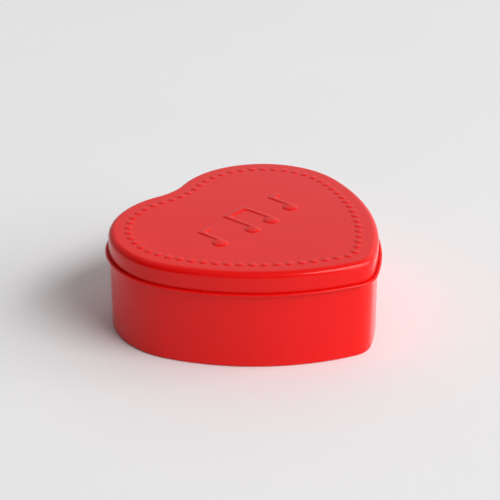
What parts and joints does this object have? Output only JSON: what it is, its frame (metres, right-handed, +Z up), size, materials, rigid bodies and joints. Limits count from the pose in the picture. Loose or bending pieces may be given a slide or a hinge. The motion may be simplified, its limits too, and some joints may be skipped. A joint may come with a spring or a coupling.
{
  "type": "wind up music box",
  "caption": "Heart-shaped red tin with a slip-on lid, a row of raised beads on the lid, and a key-wound musical movement and trinket well inside.",
  "frame": {"origin": "on the surface the tin stands on, midway between lobes and tip and on the plane of symmetry", "axes": "+Z up through the lid, +Y towards the two lobes, +X to the right when the tip points at the viewer"},
  "size_m": [0.1216, 0.1148, 0.0434],
  "materials": {
    "red_lacquer": "satin red stove lacquer on tinplate",
    "tray_plastic": "fine-grained ivory moulding",
    "felt": "short wool nap",
    "stop_rubber": "moulded rubber tip",
    "clear_acrylic": "polished clear sheet",
    "screw_steel": "turned, zinc plated",
    "gold_casting": "die casting under gold lacquer",
    "plated_steel": "nickel plated pressings",
    "comb_steel": "ground spring steel",
    "arbor_steel": "turned steel",
    "spring_steel": "blued spring steel",
    "brass": "turned and pinned brass",
    "key_brass": "pressed brass, polished",
    "fly_plastic": "thin black moulding"
  },
  "bodies": {
    "case": {"tin_body": "red_lacquer", "inner_tray": "tray_plastic", "well_lining": "felt", "clear_cover": "clear_acrylic", "cover_screws": "screw_steel", "movement_screws": "screw_steel", "bedplate": "gold_casting", "cylinder_bracket": "plated_steel", "bracket_screws": "screw_steel", "barrel_bridge": "plated_steel", "bridge_screws": "screw_steel", "governor_frame": "plated_steel", "governor_screws": "screw_steel", "arbor_bushes": "brass", "cylinder_bushes": "brass", "governor_bushes": "brass", "comb": "comb_steel", "comb_screws": "screw_steel", "plunger_post": "plated_steel", "post_screw": "screw_steel", "stop_spring": "spring_steel", "click_spring": "spring_steel"},
    "lid": {"lid": "red_lacquer"},
    "key": {"winding_key": "key_brass", "winding_arbor": "arbor_steel"},
    "barrel": {"barrel_cup": "brass", "barrel_crown_gear": "brass", "mainspring": "spring_steel"},
    "cylinder": {"cylinder_shaft": "arbor_steel", "cylinder_pinion": "arbor_steel", "cylinder_wheel": "brass", "cylinder_drum": "brass", "cylinder_end_caps": "brass"},
    "second_wheel": {"second_arbor": "arbor_steel", "second_pinion": "arbor_steel", "worm_wheel": "brass"},
    "fly": {"worm_shaft": "arbor_steel", "fly_hub": "brass", "fly_blades": "fly_plastic"},
    "stop": {"stop_plunger": "arbor_steel", "brake_pad": "stop_rubber"}
  },
  "joints": [
    {"name": "lid_lift", "type": "slide", "parent": "case", "child": "lid", "axis": [0, 0, 1], "range_m": [0, 0.05]},
    {"name": "key_wind", "type": "hinge", "parent": "case", "child": "key", "pos_m": [-0.018, 0.019, 0.0276], "axis": [0, 0, -1], "range_deg": [0, 2160]},
    {"name": "barrel_spin", "type": "hinge", "parent": "case", "child": "barrel", "pos_m": [-0.018, 0.019, 0.004], "axis": [0, 0, -1], "continuous": true},
    {"name": "cylinder_spin", "type": "hinge", "parent": "case", "child": "cylinder", "pos_m": [-0.0052, 0.019, 0.01719], "axis": [1, 0, 0], "continuous": true},
    {"name": "second_spin", "type": "hinge", "parent": "case", "child": "second_wheel", "pos_m": [0.0164, 0.02847, 0.01399], "axis": [1, 0, 0], "continuous": true},
    {"name": "fly_spin", "type": "hinge", "parent": "case", "child": "fly", "pos_m": [0.02248, 0.03447, 0.02128], "axis": [0, 0, 1], "continuous": true},
    {"name": "stop_slide", "type": "slide", "parent": "case", "child": "stop", "axis": [0, 0, 1], "range_m": [0, 0.0024], "deforming": ["stop_spring"]}
  ],
  "couplings": [
    {"joint": "cylinder_spin", "follows": "barrel_spin", "ratio": -2},
    {"joint": "second_spin", "follows": "barrel_spin", "ratio": 8},
    {"joint": "fly_spin", "follows": "barrel_spin", "ratio": -160},
    {"joint": "stop_slide", "follows": "lid_lift", "ratio": 0.048}
  ]
}
